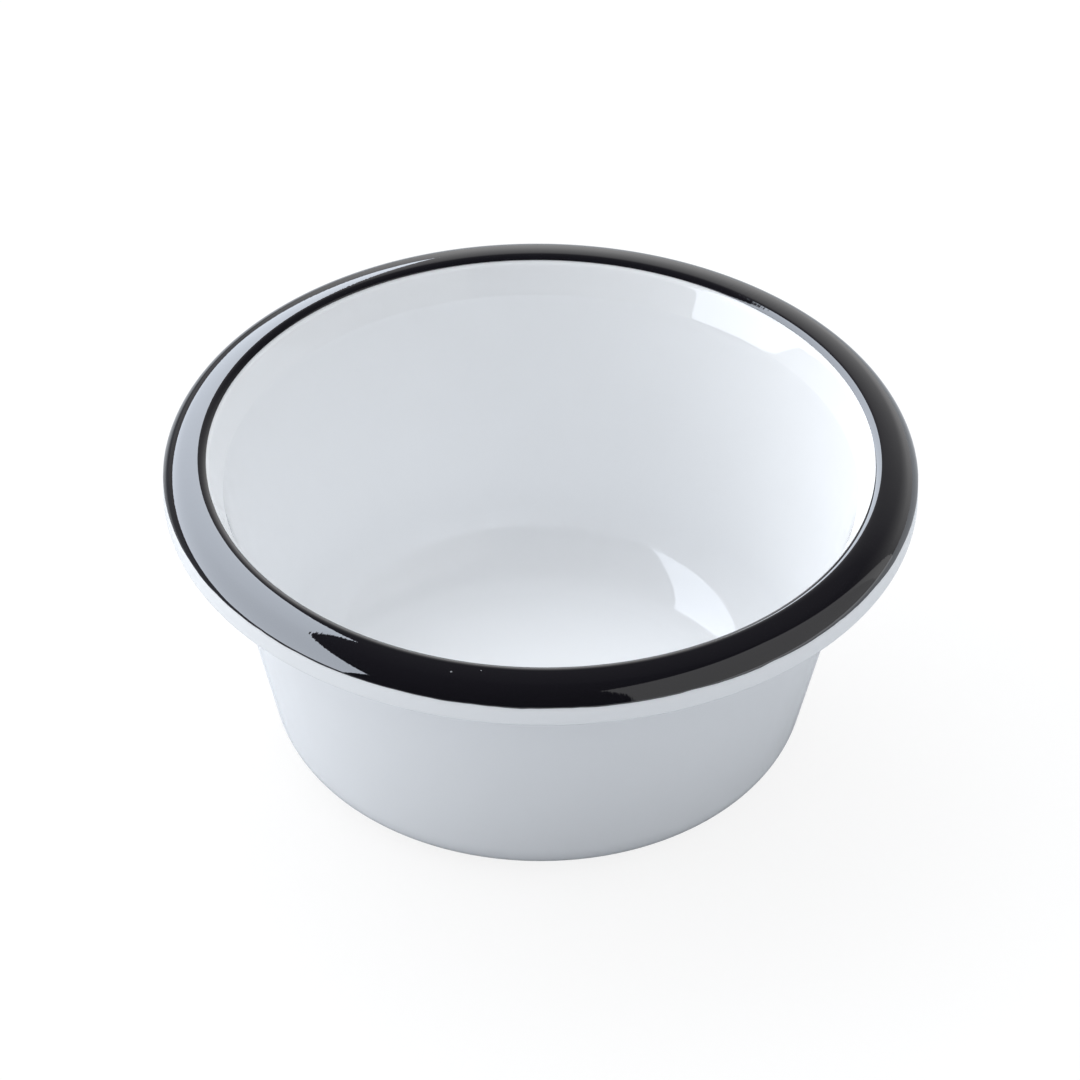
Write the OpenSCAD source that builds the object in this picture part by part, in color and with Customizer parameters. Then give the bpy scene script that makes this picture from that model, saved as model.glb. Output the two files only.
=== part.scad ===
// Enamelled steel ramekin. A drawn steel cup has its edge turned outwards into an open
// roll with a crowned top and two round shoulders, which ends in a short lip. Both sides carry a dark ground
// coat and a white cover coat, and a black band is fired over the top of the roll.
// Millimetres, +Z up, origin at the centre of the base on the surface it stands on.

/* [Overall] */
// Diameter over the rolled rim
rim_d = 80; // [72:0.5:110]
// Height from the table to the top of the black band
height = 35.2; // [28:0.1:60]

/* [Cup] */
// Lean of the wall away from upright, in degrees
wall_lean = 13.35; // [6:0.05:16]
// Outside radius of the corner between the wall and the base
base_corner_r = 6.1; // [3.5:0.1:8]
// Diameter of the shallow dome pressed up into the base, inside the ring it stands on
dome_d = 38; // [20:0.5:40]
// Height of that dome at its centre
dome_rise = 0.4; // [0.2:0.05:1]

/* [Rim] */
// Width of the roll, over its white enamel
roll_w = 6.3; // [5.5:0.05:8]
// Radius of the roll's shoulder on the food side, over its white enamel
inner_shoulder_r = 1.7; // [1.3:0.05:2.1]
// Radius of the roll's shoulder on the outside, over its white enamel
outer_shoulder_r = 2.6; // [2:0.05:3]
// Slope of the crowned top where it meets the inner shoulder, in degrees
crown_inner_slope = 3; // [1:0.5:8]
// Slope of the crowned top where it meets the outer shoulder, in degrees
crown_outer_slope = 14; // [6:0.5:20]
// Straight upright stretch between the top of the wall and the inner shoulder
neck_h = 1.9; // [0.4:0.05:3]
// Straight drop of the lip from the outer shoulder to the middle of its round edge
lip_drop = 1.1; // [0.3:0.05:3]

/* [Layers] */
// Thickness of the steel, measured level at the rim
steel_t = 0.55; // [0.4:0.01:0.7]
// Thickness of each dark ground coat, measured the same way
ground_t = 0.09; // [0.07:0.01:0.12]
// Thickness of each white cover coat, measured the same way
white_t = 0.18; // [0.12:0.01:0.22]

/* [Black band] */
// Thickness of the band over the white
band_t = 0.12; // [0.1:0.01:0.3]
// Where the band starts on the outer shoulder, in degrees above level
band_start = 17.5; // [5:0.5:40]
// How far the band's inner edge lies from the food side of the neck
band_inset = 1.75; // [1.2:0.05:2.6]

/* [Hidden] */
$fn = 96;

steel_colour = [0.42, 0.43, 0.45];
ground_colour = [0.07, 0.08, 0.13];
white_colour = [0.93, 0.94, 0.95];
black_colour = [0.04, 0.04, 0.045];

// Depths below the inside face at which the layers begin and end
inside = 0;
ground_inside = white_t;
steel_inside = ground_inside + ground_t;
steel_outside = steel_inside + steel_t;
ground_outside = steel_outside + ground_t;
outside = ground_outside + white_t;

// Roll: two shoulders with a crown between them that runs smoothly into both, the neck below
// the inner one and the lip below the outer one
rim_r = rim_d / 2;
neck_r = rim_r - roll_w;
roll_top = height - band_t;
to_inner = [-sin(crown_inner_slope), cos(crown_inner_slope)];
to_outer = [sin(crown_outer_slope), cos(crown_outer_slope)];
inner_share = inner_shoulder_r * (1 + to_inner.x);
outer_share = outer_shoulder_r * (1 - to_outer.x);
crown_r = (roll_w - inner_share - outer_share) / (to_outer.x - to_inner.x);
crown = [neck_r + inner_share - crown_r * to_inner.x, roll_top - crown_r];
inner_shoulder = crown + (crown_r - inner_shoulder_r) * to_inner;
outer_shoulder = crown + (crown_r - outer_shoulder_r) * to_outer;
neck_z = inner_shoulder.y - neck_h;
lip_centre = [rim_r - outside / 2, outer_shoulder.y - lip_drop];

// Wall: drawing thins the sheet there, so its layers keep their thickness measured level
thinning = cos(wall_lean);
wall_out = [cos(wall_lean), -sin(wall_lean)];
function wall_r(z, depth) = neck_r + depth + (z - neck_z) * tan(wall_lean);
function above_base(depth) = (outside - depth) * thinning;

// Base corner: the arcs of all layers share one centre
corner_x = wall_r(base_corner_r, outside) - base_corner_r / cos(wall_lean);
corner = [corner_x, base_corner_r];

// Dome of the base: a sphere that meets the table in a circle of diameter dome_d
dome_r = (dome_d * dome_d / 4 + dome_rise * dome_rise) / (2 * dome_rise);
dome_centre = [0, dome_rise - dome_r];

// How far the areas below reach past the part, where they are cut off or cancel out
spare = 5;

// Area on the food side of the cup's face at one depth, up past the neck
module bowl_area(depth) {
    base_z = above_base(depth);
    arc_r = base_corner_r - base_z;
    foot = corner + arc_r * wall_out;
    difference() {
        union() {
            polygon([
                [0, base_z], [corner.x, base_z], foot,
                [neck_r + depth, neck_z], [neck_r + depth, height + spare], [0, height + spare]
            ]);
            translate(corner) circle(r = arc_r);
        }
        translate(dome_centre) circle(r = dome_r + base_z, $fn = 1800);
    }
}

// Area under the face of the roll at one depth, and all that lies below it. A depth less than
// nothing gives a face that lies over the roll.
module roll_area(depth) {
    translate([0, -spare]) square([rim_r - depth, outer_shoulder.y + spare]);
    translate([0, -spare]) square([crown.x, inner_shoulder.y + spare]);
    translate(crown) intersection() {
        circle(r = crown_r - depth);
        polygon([[0, 0], 2 * crown_r * to_outer, 2 * crown_r * to_inner]);
    }
    translate(inner_shoulder) circle(r = inner_shoulder_r - depth);
    translate(outer_shoulder) circle(r = outer_shoulder_r - depth);
}

// Area on the outer side of the sheet's face at one depth: below the base, outside the wall,
// and inside the roll and the lip
module under_area(depth) {
    difference() {
        roll_area(depth);
        bowl_area(depth);
    }
}

// Section of the sheet between two depths: base, wall, neck, roll, and lip with a square edge
module sheet(from, to) {
    difference() {
        under_area(from);
        under_area(to);
        translate([outer_shoulder.x, -2 * spare]) square([rim_r, lip_centre.y + 2 * spare]);
    }
}

// The same with a round edge on the lip, for depths that lie evenly about the middle
module round_edged_sheet(from, to) {
    sheet(from, to);
    translate(lip_centre) circle(r = (to - from) / 2);
}

// Drawn cup with its turned rim
module steel_shell() {
    color(steel_colour) rotate_extrude()
        round_edged_sheet(steel_inside, steel_outside);
}

// Ground coat on the food side and over the top of the roll
module inner_ground_coat() {
    color(ground_colour) rotate_extrude()
        sheet(ground_inside, steel_inside);
}

// Ground coat on the outside, under the roll and round the edge of the lip
module outer_ground_coat() {
    color(ground_colour) rotate_extrude() difference() {
        round_edged_sheet(ground_inside, ground_outside);
        round_edged_sheet(steel_inside, steel_outside);
        sheet(ground_inside, steel_outside);
    }
}

// White coat on the food side and over the top of the roll
module inner_white_coat() {
    color(white_colour) rotate_extrude()
        sheet(inside, ground_inside);
}

// White coat on the outside, under the roll and round the edge of the lip
module outer_white_coat() {
    color(white_colour) rotate_extrude() difference() {
        round_edged_sheet(inside, outside);
        round_edged_sheet(ground_inside, ground_outside);
        sheet(inside, ground_outside);
    }
}

// Black band fired on over the white of the roll
module black_rim_band() {
    band_x = neck_r + band_inset;
    far = [rim_r + spare, outer_shoulder.y + (outer_shoulder_r + spare) * tan(band_start)];
    color(black_colour) rotate_extrude() difference() {
        intersection() {
            roll_area(-band_t);
            polygon([
                [band_x, outer_shoulder.y], outer_shoulder, far,
                [rim_r + spare, height + spare], [band_x, height + spare]
            ]);
        }
        roll_area(inside);
    }
}

steel_shell();
inner_ground_coat();
outer_ground_coat();
inner_white_coat();
outer_white_coat();
black_rim_band();
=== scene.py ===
"""Small enamelled steel ramekin: white enamel inside and out, and a black band over the rolled rim."""

from math import acos, asin, atan2, cos, pi, radians, sin, sqrt, tan

import bmesh
import bpy
from bpy.props import FloatProperty, FloatVectorProperty, IntProperty, PointerProperty
from mathutils import Matrix, Vector, noise


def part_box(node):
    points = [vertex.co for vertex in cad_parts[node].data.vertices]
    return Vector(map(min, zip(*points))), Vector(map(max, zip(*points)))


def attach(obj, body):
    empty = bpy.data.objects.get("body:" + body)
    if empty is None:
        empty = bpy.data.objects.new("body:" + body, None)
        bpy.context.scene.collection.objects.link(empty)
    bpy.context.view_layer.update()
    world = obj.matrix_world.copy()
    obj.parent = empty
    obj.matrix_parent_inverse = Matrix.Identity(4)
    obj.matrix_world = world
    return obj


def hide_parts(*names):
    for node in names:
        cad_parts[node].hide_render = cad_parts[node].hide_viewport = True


bl_info = {
    "name": "Enamelled Ramekin",
    "version": (1, 0, 0),
    "blender": (4, 5, 0),
    "location": "View3D > Sidebar > Ramekin",
    "description": "Builds the enamel of a rolled-rim ramekin round its CAD frame, with a plain studio",
    "category": "Object",
}

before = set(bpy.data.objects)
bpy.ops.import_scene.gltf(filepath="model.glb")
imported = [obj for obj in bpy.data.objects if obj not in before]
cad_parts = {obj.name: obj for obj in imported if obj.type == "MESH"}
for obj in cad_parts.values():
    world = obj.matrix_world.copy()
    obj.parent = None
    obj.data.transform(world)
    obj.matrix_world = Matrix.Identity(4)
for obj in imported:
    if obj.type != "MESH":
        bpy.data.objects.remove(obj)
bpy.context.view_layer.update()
mm = 0.001
white_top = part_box("inner_white_coat")[1]
ground_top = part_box("inner_ground_coat")[1]
steel_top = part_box("steel_shell")[1]
band_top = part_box("black_rim_band")[1]
# Share of a layer's room that its mesh fills, so that neighbours stay apart
coat_share = 0.9
sheet_share = 0.8
# Steps round the axis for the hidden layers
hidden_turns = 96
# Breadth of the shallow ripples in the fired enamel
ripple_size = 9 * mm


class RamekinShape(bpy.types.PropertyGroup):
    """Sizes of the enamelled cup"""

    rim_radius: FloatProperty(
        name="Rim radius",
        description="Outside radius of the rolled rim, over its white enamel",
        default=min(white_top.x, white_top.y),
        unit="LENGTH",
        precision=5,
    )
    roll_top: FloatProperty(
        name="Roll top",
        description="Height of the white enamel at the top of the roll",
        default=white_top.z,
        unit="LENGTH",
        precision=5,
    )
    roll_width: FloatProperty(
        name="Roll width",
        description="Width of the roll from the neck to its outside",
        default=6.3 * mm,
        unit="LENGTH",
        precision=5,
    )
    inner_shoulder: FloatProperty(
        name="Inner shoulder",
        description="Radius of the CAD's shoulder on the food side, which places the crown and the crease",
        default=1.7 * mm,
        unit="LENGTH",
        precision=5,
    )
    outer_shoulder: FloatProperty(
        name="Outer shoulder",
        description="Radius of the roll's shoulder on the outside",
        default=2.6 * mm,
        unit="LENGTH",
        precision=5,
    )
    crown_inner: FloatProperty(
        name="Crown inner slope",
        description="Slope of the roll's crowned top where it meets the inner shoulder",
        default=radians(3),
        subtype="ANGLE",
    )
    crown_outer: FloatProperty(
        name="Crown outer slope",
        description="Slope of the roll's crowned top where it meets the outer shoulder",
        default=radians(14),
        subtype="ANGLE",
    )
    crease_depth: FloatProperty(
        name="Crease depth",
        description="How far the crease lies below the middle of the CAD's inner shoulder",
        default=1.9 * mm,
        unit="LENGTH",
        precision=5,
    )
    crease_radius: FloatProperty(
        name="Crease radius",
        description="Radius of the soft bend between the wall and the flare above it",
        default=1.2 * mm,
        unit="LENGTH",
        precision=5,
    )
    flare_lean: FloatProperty(
        name="Flare lean",
        description="Lean of the short flare between the wall and the roll, away from upright",
        default=radians(25.5),
        subtype="ANGLE",
    )
    flare_shoulder: FloatProperty(
        name="Flare shoulder",
        description="Radius of the small shoulder between the flare and the crowned top",
        default=1.3 * mm,
        unit="LENGTH",
        precision=5,
    )
    lip_drop: FloatProperty(
        name="Lip drop",
        description="Straight stretch from the outer shoulder to the middle of the lip's round edge",
        default=1.1 * mm,
        unit="LENGTH",
        precision=5,
    )
    sheet: FloatProperty(
        name="Sheet",
        description="Thickness of the steel with all its coats, measured level",
        default=1.09 * mm,
        unit="LENGTH",
        precision=5,
    )
    coat: FloatProperty(
        name="White coat",
        description="Thickness of the white enamel",
        default=white_top.x - ground_top.x,
        unit="LENGTH",
        precision=5,
    )
    ground_coat: FloatProperty(
        name="Ground coat",
        description="Thickness of each dark ground coat",
        default=ground_top.x - steel_top.x,
        unit="LENGTH",
        precision=5,
    )
    wall_lean: FloatProperty(
        name="Wall lean",
        description="Lean of the wall away from upright",
        default=radians(13.35),
        subtype="ANGLE",
    )
    inner_corner: FloatProperty(
        name="Inner corner",
        description="Radius of the corner between wall and base on the food side, where enamel pools",
        default=8 * mm,
        unit="LENGTH",
        precision=5,
    )
    base_corner: FloatProperty(
        name="Base corner",
        description="Outside radius of the corner between wall and base",
        default=6.1 * mm,
        unit="LENGTH",
        precision=5,
    )
    dome_radius: FloatProperty(
        name="Dome radius",
        description="Radius of the circle inside which the base is domed upwards",
        default=19 * mm,
        unit="LENGTH",
        precision=5,
    )
    dome_rise: FloatProperty(
        name="Dome rise",
        description="Height of the base's dome at its centre",
        default=0.4 * mm,
        unit="LENGTH",
        precision=5,
    )
    band_coat: FloatProperty(
        name="Band coat",
        description="Thickness of the black band over the white",
        default=band_top.z - white_top.z,
        unit="LENGTH",
        precision=5,
    )
    band_start: FloatProperty(
        name="Band start",
        description="Where the band's lower edge lies on the outer shoulder, above level",
        default=radians(17.5),
        subtype="ANGLE",
    )
    band_inset: FloatProperty(
        name="Band inset",
        description="Distance of the band's inner edge from the food side of the neck",
        default=1.75 * mm,
        unit="LENGTH",
        precision=5,
    )
    band_wobble: FloatProperty(
        name="Band wobble",
        description="How far the hand-drawn lower edge of the band wanders",
        default=0.09 * mm,
        unit="LENGTH",
        precision=5,
    )
    ripple: FloatProperty(
        name="Ripple",
        description="Depth of the shallow ripples in the fired enamel",
        default=0.012 * mm,
        unit="LENGTH",
        precision=5,
    )
    turns: IntProperty(
        name="Segments",
        description="Steps round the axis",
        default=288,
        min=24,
    )


class RamekinFinish(bpy.types.PropertyGroup):
    """Colours and gloss of the enamels"""

    white: FloatVectorProperty(
        name="White enamel",
        description="Colour of the cover coat",
        subtype="COLOR",
        size=4,
        min=0,
        max=1,
        default=(0.84, 0.85, 0.865, 1),
    )
    black: FloatVectorProperty(
        name="Black enamel",
        description="Colour of the band on the rim",
        subtype="COLOR",
        size=4,
        min=0,
        max=1,
        default=(0.0085, 0.008, 0.0105, 1),
    )
    ground: FloatVectorProperty(
        name="Ground coat",
        description="Colour of the hidden first coat",
        subtype="COLOR",
        size=4,
        min=0,
        max=1,
        default=(0.07, 0.08, 0.13, 1),
    )
    steel: FloatVectorProperty(
        name="Steel",
        description="Colour of the hidden steel",
        subtype="COLOR",
        size=4,
        min=0,
        max=1,
        default=(0.42, 0.43, 0.45, 1),
    )
    gloss: FloatProperty(
        name="White roughness",
        description="Roughness of the white enamel",
        subtype="FACTOR",
        default=0.02,
        min=0,
        max=1,
    )
    band_gloss: FloatProperty(
        name="Band roughness",
        description="Roughness of the black enamel",
        subtype="FACTOR",
        default=0.012,
        min=0,
        max=1,
    )


class RamekinStage(bpy.types.PropertyGroup):
    """Floor, light and camera"""

    floor: FloatVectorProperty(
        name="Floor",
        description="Colour of the pale floor",
        subtype="COLOR",
        size=4,
        min=0,
        max=1,
        default=(0.62, 0.635, 0.66, 1),
    )
    tint: FloatVectorProperty(
        name="Light colour",
        description="Colour of the soft lights that matt surfaces see",
        subtype="COLOR",
        size=4,
        min=0,
        max=1,
        default=(0.95, 0.975, 1.0, 1),
    )
    cool: FloatVectorProperty(
        name="Gleam colour",
        description="Colour of the softbox as glossy surfaces show it",
        subtype="COLOR",
        size=4,
        min=0,
        max=1,
        default=(0.82, 0.89, 1.0, 1),
    )
    left: FloatProperty(
        name="Left",
        description="Brightness of the soft light low at the left, as matt surfaces see it",
        default=2.6,
        min=0,
    )
    above: FloatProperty(
        name="Above",
        description="Brightness of the soft main light above the back, as matt surfaces see it",
        default=3.4,
        min=0,
    )
    right: FloatProperty(
        name="Right",
        description="Brightness of the soft fill low at the right, as matt surfaces see it",
        default=0.65,
        min=0,
    )
    front: FloatProperty(
        name="Front",
        description="Brightness of the soft fill above at the front right, as matt surfaces see it",
        default=1.06,
        min=0,
    )
    backdrop: FloatProperty(
        name="Backdrop",
        description="Brightness of the backdrop low behind the cup, as glossy surfaces show it",
        default=1.2,
        min=0,
    )
    gleam: FloatProperty(
        name="Gleam",
        description="Brightness of the tilted softbox at the left, as glossy surfaces show it",
        default=3.9,
        min=0,
    )
    bounce: FloatProperty(
        name="Bounce",
        description="Brightness of the reflector card at the right, as glossy surfaces show it",
        default=0.42,
        min=0,
    )
    distance: FloatProperty(
        name="Camera distance",
        description="From the middle of the rim to the camera",
        default=1.0,
        unit="LENGTH",
    )
    height: FloatProperty(
        name="Camera height",
        description="Angle at which the camera stands above the rim",
        default=radians(37.603),
        subtype="ANGLE",
    )
    pitch: FloatProperty(
        name="Camera pitch",
        description="Angle at which the camera looks down",
        default=radians(37.946),
        subtype="ANGLE",
    )
    roll: FloatProperty(
        name="Camera roll",
        description="Turn of the camera about its own line of sight",
        default=radians(0.618),
        subtype="ANGLE",
    )
    lens: FloatProperty(
        name="Lens",
        description="Focal length in millimetres",
        default=314.5,
        subtype="DISTANCE_CAMERA",
    )


class Pen:
    """Draws half a section in the XZ plane, point by point, and turns it about the axis."""

    weld = 0.0005 * mm

    def __init__(self, x, z):
        self.bm = bmesh.new()
        self.tip = self.bm.verts.new((x, 0, z))

    def line(self, x, z, steps):
        """Straight stretch to a point."""
        start, end = self.tip.co.copy(), Vector((x, 0, z))
        for step in range(steps):
            self.tip = bmesh.ops.extrude_vert_indiv(self.bm, verts=[self.tip])["verts"][0]
            self.tip.co = start.lerp(end, (step + 1) / steps)

    def arc(self, x, z, turn, steps):
        """Arc of the tip round a centre, anticlockwise where the turn is positive."""
        spun = bmesh.ops.spin(
            self.bm, geom=[self.tip], cent=(x, 0, z), axis=(0, -1, 0), angle=turn, steps=steps
        )
        self.tip = next(v for v in spun["geom_last"] if isinstance(v, bmesh.types.BMVert))

    def turn(self, steps):
        """Turn the section once round the axis and merge the poles."""
        bmesh.ops.spin(
            self.bm,
            geom=self.bm.verts[:] + self.bm.edges[:],
            axis=(0, 0, 1),
            angle=2 * pi,
            steps=steps,
            use_merge=True,
        )
        bmesh.ops.remove_doubles(self.bm, verts=self.bm.verts[:], dist=self.weld)
        bmesh.ops.recalc_face_normals(self.bm, faces=self.bm.faces[:])
        return self.bm


class Cup:
    """The cup's section, worked out from its sizes. Depths are measured from the food side."""

    least_shoulder = 0.1 * mm

    def __init__(self, shape):
        self.shape = shape
        self.neck = shape.rim_radius - shape.roll_width
        inwards, outwards = shape.crown_inner, shape.crown_outer
        left = shape.inner_shoulder * (1 - sin(inwards))
        right = shape.outer_shoulder * (1 - sin(outwards))
        self.bend = (shape.roll_width - left - right) / (sin(inwards) + sin(outwards))
        self.crown = Vector((self.neck + left + self.bend * sin(inwards), shape.roll_top - self.bend))
        self.inner = self.crown + (self.bend - shape.inner_shoulder) * Vector(
            (-sin(inwards), cos(inwards))
        )
        self.outer = self.crown + (self.bend - shape.outer_shoulder) * Vector(
            (sin(outwards), cos(outwards))
        )
        self.crease = self.inner.y - shape.crease_depth
        self.lip = Vector((shape.rim_radius - shape.sheet / 2, self.outer.y - shape.lip_drop))
        self.dome = (shape.dome_radius**2 + shape.dome_rise**2) / (2 * shape.dome_rise)

    def face(self, depth):
        """Pen drawn from the middle of the base up the wall and over the roll to the lip."""
        shape, lean = self.shape, self.shape.wall_lean
        floor = (shape.sheet - depth) * cos(lean)
        pen = Pen(0, shape.dome_rise + floor)
        swing = asin(shape.dome_radius / self.dome)
        pen.arc(0, shape.dome_rise - self.dome, -swing, steps=14)
        share = depth / shape.sheet
        radius = shape.inner_corner * (1 - share) + shape.base_corner * share
        middle = floor + radius
        wall = self.neck + depth + (middle - self.crease) * tan(lean)
        pen.line(wall - radius / cos(lean), floor, steps=4)
        pen.arc(wall - radius / cos(lean), middle, pi / 2 - lean, steps=24)
        bend, soft = shape.flare_lean - lean, shape.crease_radius
        foot = Vector((self.neck + depth, self.crease))
        foot -= soft * tan(bend / 2) * Vector((sin(lean), cos(lean)))
        pen.line(foot.x, foot.y, steps=26)
        pen.arc(foot.x + soft * cos(lean), foot.y - soft * sin(lean), -bend, steps=6)
        self.roll(pen, depth)
        pen.line(shape.rim_radius - depth, self.lip.y, steps=4)
        return pen

    def shoulder(self, depth):
        """Centre and radius of the small shoulder at one depth, and its end's direction."""
        lean = self.shape.flare_lean
        radius = max(self.shape.flare_shoulder - depth, self.least_shoulder)
        start = Vector((self.neck + depth + radius / cos(lean), self.crease)) - self.crown
        way = Vector((sin(lean), cos(lean)))
        along, reach = start.dot(way), self.bend - depth - radius
        spoke = start + way * (sqrt(along**2 - start.length_squared + reach**2) - along)
        return self.crown + spoke, radius, atan2(spoke.y, spoke.x)

    def roll(self, pen, depth):
        """Flare, small shoulder, crown and outer shoulder."""
        shape, lean = self.shape, self.shape.flare_lean
        centre, radius, top = self.shoulder(depth)
        pen.line(centre.x - radius * cos(lean), centre.y + radius * sin(lean), steps=8)
        pen.arc(centre.x, centre.y, top + lean - pi, steps=10)
        pen.arc(self.crown.x, self.crown.y, pi / 2 - shape.crown_outer - top, steps=10)
        pen.arc(self.outer.x, self.outer.y, shape.crown_outer - pi / 2, steps=16)


def ripple(bm, depth, size, keep=None):
    """Shallow ripples of fired enamel, cut inwards only, so that no point leaves the CAD's box."""
    bm.normal_update()
    moves = []
    for vert in bm.verts:
        wave = 0.5 + 0.5 * noise.noise(vert.co / size)
        share = keep(vert.co) if keep else 1
        moves.append((vert, vert.normal * (-depth * wave * share)))
    for vert, move in moves:
        vert.co += move


def off_table(co):
    """Share of the ripples at a point: none on the ring that the cup stands on."""
    plain, fade = 0.3 * mm, 3 * mm
    return min(max((co.z - plain) / fade, 0), 1)


def face_up(bm):
    """Turn all faces so that the one in the middle of the base looks up."""
    middle = min(bm.faces, key=lambda f: f.calc_center_median().xy.length)
    middle.normal_update()
    if middle.normal.z < 0:
        bmesh.ops.reverse_faces(bm, faces=bm.faces[:])


def show(bm, name, node, material):
    """Turn a finished bmesh into a piece that stands for a CAD node."""
    sharpest = radians(35)
    for vert in bm.verts:
        vert.co.z = max(vert.co.z, 0)
    for face in bm.faces:
        face.smooth = True
    for edge in bm.edges:
        edge.smooth = len(edge.link_faces) == 2 and edge.calc_face_angle() < sharpest
    mesh = bpy.data.meshes.new(name)
    bm.to_mesh(mesh)
    bm.free()
    mesh.materials.append(material)
    piece = bpy.data.objects.new(name, mesh)
    bpy.context.scene.collection.objects.link(piece)
    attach(piece, "root")
    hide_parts(node)


class Wire:
    """An output socket of a node tree. Arithmetic on wires adds Math nodes."""

    def __init__(self, tree, socket=None):
        self.tree, self.socket = tree, socket

    def node(self, kind, inputs=None, output=0, **settings):
        """Add a node: its settings first, then the values or wires of its sockets."""
        made = self.tree.nodes.new(kind)
        for name, value in settings.items():
            setattr(made, name, value)
        for name, value in (inputs or {}).items():
            if isinstance(value, Wire):
                self.tree.links.new(value.socket, made.inputs[name])
            else:
                made.inputs[name].default_value = value
        return Wire(self.tree, made.outputs[output]) if made.outputs else made

    def math(self, operation, first, second=0.0):
        """Add a Math node."""
        return self.node("ShaderNodeMath", {0: first, 1: second}, operation=operation)

    def blend(self, value, span, levels):
        """Straight blend between two levels as the value crosses a span."""
        ends = {"Value": value, 1: span[0], 2: span[1], 3: levels[0], 4: levels[1]}
        return self.node("ShaderNodeMapRange", ends, clamp=True)

    def mix(self, factor, first, second):
        """Blend of two colours."""
        sides = {"Factor": factor, 6: first, 7: second}
        return self.node("ShaderNodeMix", sides, output=2, data_type="RGBA")

    def bump(self, height):
        """Normal over a relief whose height is given in millimetres."""
        relief = {"Strength": 1.0, "Distance": mm, "Height": height}
        return self.node("ShaderNodeBump", relief, output="Normal")

    def __add__(self, other):
        return self.math("ADD", self, other)

    def __radd__(self, other):
        return self.math("ADD", other, self)

    def __sub__(self, other):
        return self.math("SUBTRACT", self, other)

    def __mul__(self, other):
        return self.math("MULTIPLY", self, other)

    def __gt__(self, other):
        return self.math("GREATER_THAN", self, other)

    def __lt__(self, other):
        return self.math("LESS_THAN", self, other)


def tree_of(holder):
    """Empty node tree of a material or a world."""
    holder.use_nodes = True
    holder.node_tree.nodes.clear()
    return Wire(holder.node_tree)


def noise_of(wire, place, scale, detail):
    """Even noise from 0 to 1; the scale is in features a metre."""
    return wire.node("ShaderNodeTexNoise", {"Vector": place, "Scale": scale, "Detail": detail})


def dots(wire, place, scale, radius, share, soft=False):
    """Mask of scattered round dots, flat or domed: the radius is a share of their spacing."""
    cells = {"Vector": place, "Scale": scale}
    near = wire.node("ShaderNodeTexVoronoi", cells, output="Distance")
    pick = wire.node("ShaderNodeTexVoronoi", cells, output="Color")
    chosen = wire.node("ShaderNodeSeparateColor", {"Color": pick}, output=0)
    skirt = 1.5 * radius
    mask = wire.blend(near, (0.0, skirt), (1.0, 0.0)) if soft else near < radius
    return mask * (chosen < share)


def shaded(colour, share):
    """A colour darkened to a share of itself."""
    return [c * share for c in colour[:3]] + [1]


def white_enamel(finish):
    """Glossy white cover coat: faint clouding, rare dark specks and the orange peel of firing."""
    speck_colour, speck_strength = (0.18, 0.17, 0.16, 1), 0.6
    peel_height, swell_height, pimple_height = 0.0008, 0.004, 0.05
    uneven_gloss, ior = 0.02, 1.5
    material = bpy.data.materials.new("fired_white")
    wire = tree_of(material)
    place = wire.node("ShaderNodeTexCoord", output="Object")
    cloud = noise_of(wire, place, scale=55, detail=3)
    speck = dots(wire, place, scale=140, radius=0.012, share=0.06)
    tone = wire.mix(cloud, finish.white, shaded(finish.white, 0.97))
    colour = wire.mix(speck * speck_strength, tone, speck_colour)
    peel = noise_of(wire, place, scale=900, detail=2)
    swell = noise_of(wire, place, scale=170, detail=1)
    pimple = dots(wire, place, scale=75, radius=0.02, share=0.03, soft=True)
    bump = wire.bump(peel * peel_height + swell * swell_height + pimple * pimple_height)
    gloss = finish.gloss + noise_of(wire, place, scale=260, detail=3) * uneven_gloss
    shader = wire.node(
        "ShaderNodeBsdfPrincipled",
        {"Base Color": colour, "Roughness": gloss, "Normal": bump, "IOR": ior},
    )
    wire.node("ShaderNodeOutputMaterial", {"Surface": shader})
    return material


def black_enamel(finish):
    """Glossy black band: brush strokes across the rim in places, scuffs and a few light specks."""
    speck_colour = (0.25, 0.26, 0.27, 1)
    stroke_height, scuff_height, swell_height = 0.006, 0.0008, 0.006
    scuff_gloss, ior = 0.04, 1.8
    rim, squeeze = 38 * mm, 0.15
    material = bpy.data.materials.new("fired_black")
    wire = tree_of(material)
    place = wire.node("ShaderNodeTexCoord", output="Object")
    x, y, z = (wire.node("ShaderNodeSeparateXYZ", {"Vector": place}, output=axis) for axis in "XYZ")
    speck = dots(wire, place, scale=330, radius=0.04, share=0.2)
    colour = wire.mix(speck, finish.black, speck_colour)
    around = wire.math("ARCTAN2", y, x) * rim
    across = wire.node("ShaderNodeCombineXYZ", {"X": around, "Y": z * squeeze, "Z": 0.0})
    stroke = noise_of(wire, across, scale=2300, detail=2)
    worn = noise_of(wire, place, scale=45, detail=1)
    patch = wire.blend(worn, span=(0.45, 0.65), levels=(0.0, 1.0))
    scuff = noise_of(wire, place, scale=1400, detail=3)
    swell = noise_of(wire, place, scale=220, detail=1)
    bump = wire.bump(swell * swell_height + scuff * scuff_height + stroke * patch * stroke_height)
    gloss = finish.band_gloss + scuff * patch * scuff_gloss
    shader = wire.node(
        "ShaderNodeBsdfPrincipled",
        {"Base Color": colour, "Roughness": gloss, "Normal": bump, "IOR": ior},
    )
    wire.node("ShaderNodeOutputMaterial", {"Surface": shader})
    return material


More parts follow.
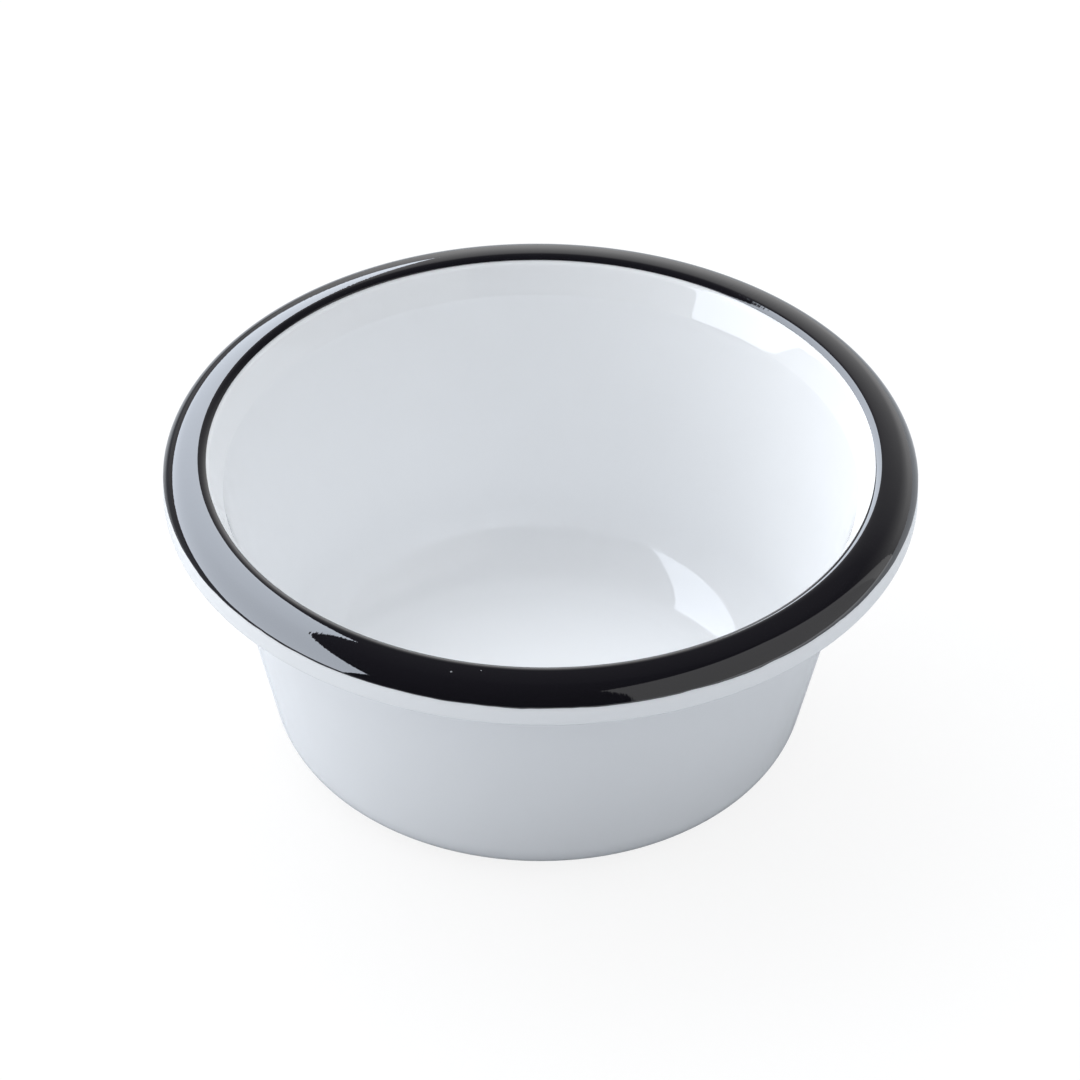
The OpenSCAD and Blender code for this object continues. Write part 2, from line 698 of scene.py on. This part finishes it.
def hidden_enamel(finish):
    """Dark glassy ground coat."""
    roughness, uneven = 0.2, 0.15
    material = bpy.data.materials.new("fired_ground")
    wire = tree_of(material)
    place = wire.node("ShaderNodeTexCoord", output="Object")
    grain = noise_of(wire, place, scale=500, detail=3)
    colour = wire.mix(grain, finish.ground, shaded(finish.ground, 0.7))
    shader = wire.node(
        "ShaderNodeBsdfPrincipled", {"Base Color": colour, "Roughness": roughness + grain * uneven}
    )
    wire.node("ShaderNodeOutputMaterial", {"Surface": shader})
    return material


def drawn_steel(finish):
    """Drawn sheet steel."""
    roughness, uneven = 0.3, 0.2
    material = bpy.data.materials.new("drawn_steel")
    wire = tree_of(material)
    place = wire.node("ShaderNodeTexCoord", output="Object")
    grain = noise_of(wire, place, scale=800, detail=3)
    shader = wire.node(
        "ShaderNodeBsdfPrincipled",
        {"Base Color": finish.steel, "Metallic": 1.0, "Roughness": roughness + grain * uneven},
    )
    wire.node("ShaderNodeOutputMaterial", {"Surface": shader})
    return material


def finish_of(make):
    """A finish's material, made once. The names differ from those that the frame brings along."""
    names = {
        white_enamel: "fired_white",
        black_enamel: "fired_black",
        hidden_enamel: "fired_ground",
        drawn_steel: "drawn_steel",
    }
    found = bpy.data.materials.get(names[make])
    return found or make(bpy.context.scene.ramekin_finish)


class RAMEKIN_OT_inside(bpy.types.Operator):
    """White enamel of the food side, over the roll and down to the lip"""

    bl_idname = "ramekin.inside"
    bl_label = "Inside White"

    def execute(self, context):
        shape = context.scene.ramekin_shape
        bm = Cup(shape).face(0).turn(shape.turns)
        face_up(bm)
        ripple(bm, shape.ripple, ripple_size)
        bmesh.ops.solidify(bm, geom=bm.faces[:], thickness=coat_share * shape.coat)
        show(bm, "inside_white", "inner_white_coat", finish_of(white_enamel))
        return {"FINISHED"}


class RAMEKIN_OT_outside(bpy.types.Operator):
    """White enamel of the outside, the base, the hollow of the roll and the lip's round edge"""

    bl_idname = "ramekin.outside"
    bl_label = "Outside White"

    def execute(self, context):
        shape = context.scene.ramekin_shape
        cup = Cup(shape)
        pen = cup.face(shape.sheet)
        pen.arc(cup.lip.x, cup.lip.y, pi, steps=14)
        bm = pen.turn(shape.turns)
        face_up(bm)
        bmesh.ops.reverse_faces(bm, faces=bm.faces[:])
        ripple(bm, shape.ripple, ripple_size, off_table)
        bmesh.ops.solidify(bm, geom=bm.faces[:], thickness=coat_share * shape.coat)
        show(bm, "outside_white", "outer_white_coat", finish_of(white_enamel))
        return {"FINISHED"}


class RAMEKIN_OT_band(bpy.types.Operator):
    """Black band with rounded edges and a slightly wandering lower edge"""

    bl_idname = "ramekin.band"
    bl_label = "Black Band"

    def execute(self, context):
        shape = context.scene.ramekin_shape
        cup = Cup(shape)
        bm = self.section(shape, cup).turn(shape.turns)
        self.wander(bm, shape, cup.outer)
        show(bm, "black_band", "black_rim_band", finish_of(black_enamel))
        return {"FINISHED"}

    def section(self, shape, cup):
        """Closed section of the band, from its lower edge over the crown and back underneath."""
        clearance, sunk, edge, join = 0.002 * mm, 0.03 * mm, 0.05 * mm, 0.01 * mm
        coat = shape.band_coat - clearance
        outer, crown, start = cup.outer, cup.crown, shape.band_start
        out, along = Vector((cos(start), sin(start))), Vector((-sin(start), cos(start)))
        low = outer + out * (shape.outer_shoulder - sunk)
        pen = Pen(low.x, low.y)
        low = outer + out * (shape.outer_shoulder + coat - edge)
        pen.line(low.x, low.y, steps=2)
        low += along * edge
        pen.arc(low.x, low.y, pi / 2, steps=4)
        rest = pi / 2 - shape.crown_outer - start - edge / (shape.outer_shoulder + coat)
        pen.arc(outer.x, outer.y, rest, steps=24)
        centre, radius, top = cup.shoulder(-coat)
        pen.arc(crown.x, crown.y, top + shape.crown_outer - pi / 2, steps=14)
        end = acos((cup.neck + shape.band_inset - centre.x) / radius)
        pen.arc(centre.x, centre.y, end - top, steps=8)
        way = Vector((cos(end), sin(end)))
        bend = centre + way * (radius - edge)
        pen.arc(bend.x, bend.y, pi / 2, steps=4)
        centre, radius, top = cup.shoulder(sunk)
        foot = centre + way * radius
        pen.line(foot.x, foot.y, steps=2)
        pen.arc(centre.x, centre.y, top - end, steps=4)
        pen.arc(crown.x, crown.y, pi / 2 - shape.crown_outer - top, steps=5)
        pen.arc(outer.x, outer.y, start + shape.crown_outer - pi / 2, steps=8)
        bmesh.ops.remove_doubles(pen.bm, verts=pen.bm.verts[:], dist=join)
        return pen

    def wander(self, bm, shape, outer):
        """Turn points near the lower edge a little about the outer shoulder."""
        fade, slow, quick = radians(16), 9, 31
        for vert in bm.verts:
            around = Vector((vert.co.x, vert.co.y, 0)).normalized()
            spoke = Vector((vert.co.xy.length, vert.co.z)) - outer
            angle = spoke.angle_signed(Vector((1, 0)))
            near = min(max(1 - (angle - shape.band_start) / fade, 0), 1)
            sway = noise.noise(around * slow) + 0.5 * noise.noise(around * quick)
            spin = Matrix.Rotation(sway * near * shape.band_wobble / shape.outer_shoulder, 2)
            spoke = spin @ spoke
            vert.co = around * (outer.x + spoke.x) + Vector((0, 0, outer.y + spoke.y))


class RAMEKIN_OT_core(bpy.types.Operator):
    """Hidden steel with its two ground coats"""

    bl_idname = "ramekin.core"
    bl_label = "Steel And Ground Coats"

    def execute(self, context):
        shape = context.scene.ramekin_shape
        cup = Cup(shape)
        ground, layers = shape.ground_coat, shape.coat + shape.ground_coat
        steel, far = shape.sheet - 2 * layers, shape.sheet - layers
        self.sheet(cup, "inner_ground_sheet", "inner_ground_coat", hidden_enamel, shape.coat, ground)
        self.sheet(cup, "steel_sheet", "steel_shell", drawn_steel, layers, steel)
        self.sheet(cup, "outer_ground_sheet", "outer_ground_coat", hidden_enamel, far, ground)
        return {"FINISHED"}

    def sheet(self, cup, name, node, make, depth, thickness):
        """One hidden layer, which starts at a depth."""
        bm = cup.face(depth).turn(hidden_turns)
        face_up(bm)
        bmesh.ops.solidify(bm, geom=bm.faces[:], thickness=sheet_share * thickness)
        show(bm, name, node, finish_of(make))


def panel(name, brightness, size, bearing, distance, middle, tilt=0.0, colour=(1, 1, 1)):
    """Upright panel that only the gloss shows.

    The bearing is its direction from the cup, and the tilt its turn in its own plane.
    """
    # Power of a square metre that has a brightness of 1
    unit_power = 4
    light = bpy.data.lights.new(name, "AREA")
    light.shape = "RECTANGLE"
    light.size, light.size_y = size
    light.energy, light.color = brightness * unit_power * size[0] * size[1], colour
    thing = bpy.data.objects.new(name, light)
    bpy.context.scene.collection.objects.link(thing)
    place = Matrix.Rotation(bearing, 4, "Z") @ Matrix.Translation((distance, 0, middle))
    face = Matrix.Rotation(pi / 2, 4, "Z") @ Matrix.Rotation(pi / 2, 4, "X")
    thing.matrix_world = place @ face @ Matrix.Rotation(tilt, 4, "Z")
    thing.visible_diffuse = False


class RAMEKIN_OT_stage(bpy.types.Operator):
    """Pale floor, soft studio light and the camera"""

    bl_idname = "ramekin.stage"
    bl_label = "Stage"

    def execute(self, context):
        scene, stage = context.scene, context.scene.ramekin_stage
        scene.view_settings.view_transform = "Standard"
        self.floor(scene, stage)
        self.room(scene, stage)
        self.lamps(stage)
        self.camera(scene, stage)
        return {"FINISHED"}

    def lamps(self, stage):
        """Tilted softbox at the left and reflector card at the right."""
        box = {"size": (2.25, 0.92), "bearing": radians(157.5), "distance": 0.6, "middle": 0.5625}
        box["tilt"], box["colour"] = radians(-19.5), stage.cool[:3]
        card = {"size": (0.68, 0.9), "bearing": radians(-21), "distance": 0.35, "middle": 0.42}
        panel("gleam_left", stage.gleam, **box)
        panel("bounce_right", stage.bounce, **card)

    def floor(self, scene, stage):
        """Pale floor that the camera sees white, with painted shade on its far left that only the gloss
        shows.
        """
        # The second value is the share of the floor colour kept in the painted shade that reflections show
        # at the far left
        size, painted_shade_share, far_left, near_left = 4, 0.2, -0.16, -0.08
        pale_colour, white_share = (0.9, 0.9, 0.9, 1), 0.85
        bm = bmesh.new()
        bmesh.ops.create_grid(bm, x_segments=1, y_segments=1, size=size)
        mesh = bpy.data.meshes.new("floor")
        bm.to_mesh(mesh)
        bm.free()
        floor = bpy.data.objects.new("floor", mesh)
        scene.collection.objects.link(floor)
        material = bpy.data.materials.new("floor")
        mesh.materials.append(material)
        wire = tree_of(material)
        seen = wire.node("ShaderNodeLightPath", output="Is Camera Ray")
        gloss = wire.node("ShaderNodeLightPath", output="Is Glossy Ray")
        bright = wire.node("ShaderNodeBsdfDiffuse", {"Color": stage.floor})
        # Painted shade: a darker copy of the floor colour, seen only by glossy rays at the far left
        painted_gloss_shade = wire.node("ShaderNodeBsdfDiffuse", {"Color": [c * painted_shade_share for c in stage.floor]})
        place = wire.node("ShaderNodeTexCoord", output="Object")
        side = wire.node("ShaderNodeSeparateXYZ", {"Vector": place}, output="X")
        # Mask of the painted shade, from none at the near left to full at the far left
        far = wire.blend(side, (far_left, near_left), (1.0, 0.0))
        matt = wire.node("ShaderNodeMixShader", {0: gloss * far, 1: bright, 2: painted_gloss_shade})
        pale = wire.node("ShaderNodeBsdfDiffuse", {"Color": pale_colour})
        white = wire.node("ShaderNodeEmission", {"Color": (1, 1, 1, 1), "Strength": 1.0})
        shown = wire.node("ShaderNodeMixShader", {0: white_share, 1: pale, 2: white})
        shade = wire.node("ShaderNodeMixShader", {0: seen, 1: matt, 2: shown})
        wire.node("ShaderNodeOutputMaterial", {"Surface": shade})

    def glow(self, axes, brightness, bearing, height):
        """Soft light from one direction, whose bearing and height are in degrees."""
        sharpness = 5
        right, back, rise = axes
        level = cos(radians(height))
        x, y, z = level * cos(radians(bearing)), level * sin(radians(bearing)), sin(radians(height))
        return right.math("EXPONENT", (right * x + back * y + rise * z - 1) * sharpness) * brightness

    def room(self, scene, stage):
        """Soft lights for matt surfaces, a backdrop for the gloss and white for the camera."""
        world = bpy.data.worlds.new("studio")
        scene.world = world
        wire = tree_of(world)
        seen = wire.node("ShaderNodeLightPath", output="Is Camera Ray")
        gloss = wire.node("ShaderNodeLightPath", output="Is Glossy Ray")
        way = wire.node("ShaderNodeTexCoord", output="Generated")
        axes = [wire.node("ShaderNodeSeparateXYZ", {"Vector": way}, output=axis) for axis in "XYZ"]
        level = self.glow(axes, stage.above, bearing=115, height=45)
        level = level + self.glow(axes, stage.left, bearing=180, height=12)
        level = level + self.glow(axes, stage.right, bearing=0, height=12)
        level = level + self.glow(axes, stage.front, bearing=315, height=45)
        matt = wire.node("ShaderNodeBackground", {"Color": stage.tint, "Strength": level})
        right, back, rise = axes
        deep = wire.blend(back, span=(0.4, 1.0), levels=(0.2, 1.0)) * (back > 0.3)
        low = wire.blend(rise, span=(0.25, 0.7), levels=(1.0, 0.06))
        clear = wire.blend(right, span=(-0.25, -0.05), levels=(0.3, 1.0))
        strength = deep * low * clear * stage.backdrop
        shine = wire.node("ShaderNodeBackground", {"Color": (1, 1, 1, 1), "Strength": strength})
        white = wire.node("ShaderNodeBackground", {"Color": (1, 1, 1, 1), "Strength": 1.0})
        light = wire.node("ShaderNodeMixShader", {0: gloss, 1: matt, 2: shine})
        light = wire.node("ShaderNodeMixShader", {0: seen, 1: light, 2: white})
        wire.node("ShaderNodeOutputWorld", {"Surface": light})

    def camera(self, scene, stage):
        """Camera in front of the cup, measured from the point on the axis at the rim's level."""
        rim_level = 31.48 * mm
        data = bpy.data.cameras.new("camera")
        data.sensor_width, data.lens = 36, stage.lens
        data.clip_start, data.clip_end = 0.01, 20
        camera = bpy.data.objects.new("camera", data)
        scene.collection.objects.link(camera)
        rise = rim_level + stage.distance * sin(stage.height)
        place = Matrix.Translation((0, -stage.distance * cos(stage.height), rise))
        look = Matrix.Rotation(pi / 2 - stage.pitch, 4, "X") @ Matrix.Rotation(stage.roll, 4, "Z")
        camera.matrix_world = place @ look
        scene.camera = camera


class RAMEKIN_PT_panel(bpy.types.Panel):
    """Sizes, finishes and the steps that build the ramekin"""

    bl_idname = "RAMEKIN_PT_panel"
    bl_label = "Ramekin"
    bl_space_type = "VIEW_3D"
    bl_region_type = "UI"
    bl_category = "Ramekin"

    def draw(self, context):
        column = self.layout.column(align=True)
        for step in steps:
            column.operator(step.bl_idname)
        for group in groups:
            settings = getattr(context.scene, group)
            column = self.layout.column(align=True)
            for name in settings.__annotations__:
                column.prop(settings, name)


steps = (
    RAMEKIN_OT_inside,
    RAMEKIN_OT_outside,
    RAMEKIN_OT_band,
    RAMEKIN_OT_core,
    RAMEKIN_OT_stage,
)
groups = {
    "ramekin_shape": RamekinShape,
    "ramekin_finish": RamekinFinish,
    "ramekin_stage": RamekinStage,
}


def register():
    for cls in (*groups.values(), *steps, RAMEKIN_PT_panel):
        bpy.utils.register_class(cls)
    for name, cls in groups.items():
        setattr(bpy.types.Scene, name, PointerProperty(type=cls))


def unregister():
    for name in groups:
        delattr(bpy.types.Scene, name)
    for cls in (RAMEKIN_PT_panel, *reversed(steps), *groups.values()):
        bpy.utils.unregister_class(cls)


def main():
    register()
    bpy.ops.ramekin.inside()
    bpy.ops.ramekin.outside()
    bpy.ops.ramekin.band()
    bpy.ops.ramekin.core()
    bpy.ops.ramekin.stage()


if __name__ == "__main__":
    main()
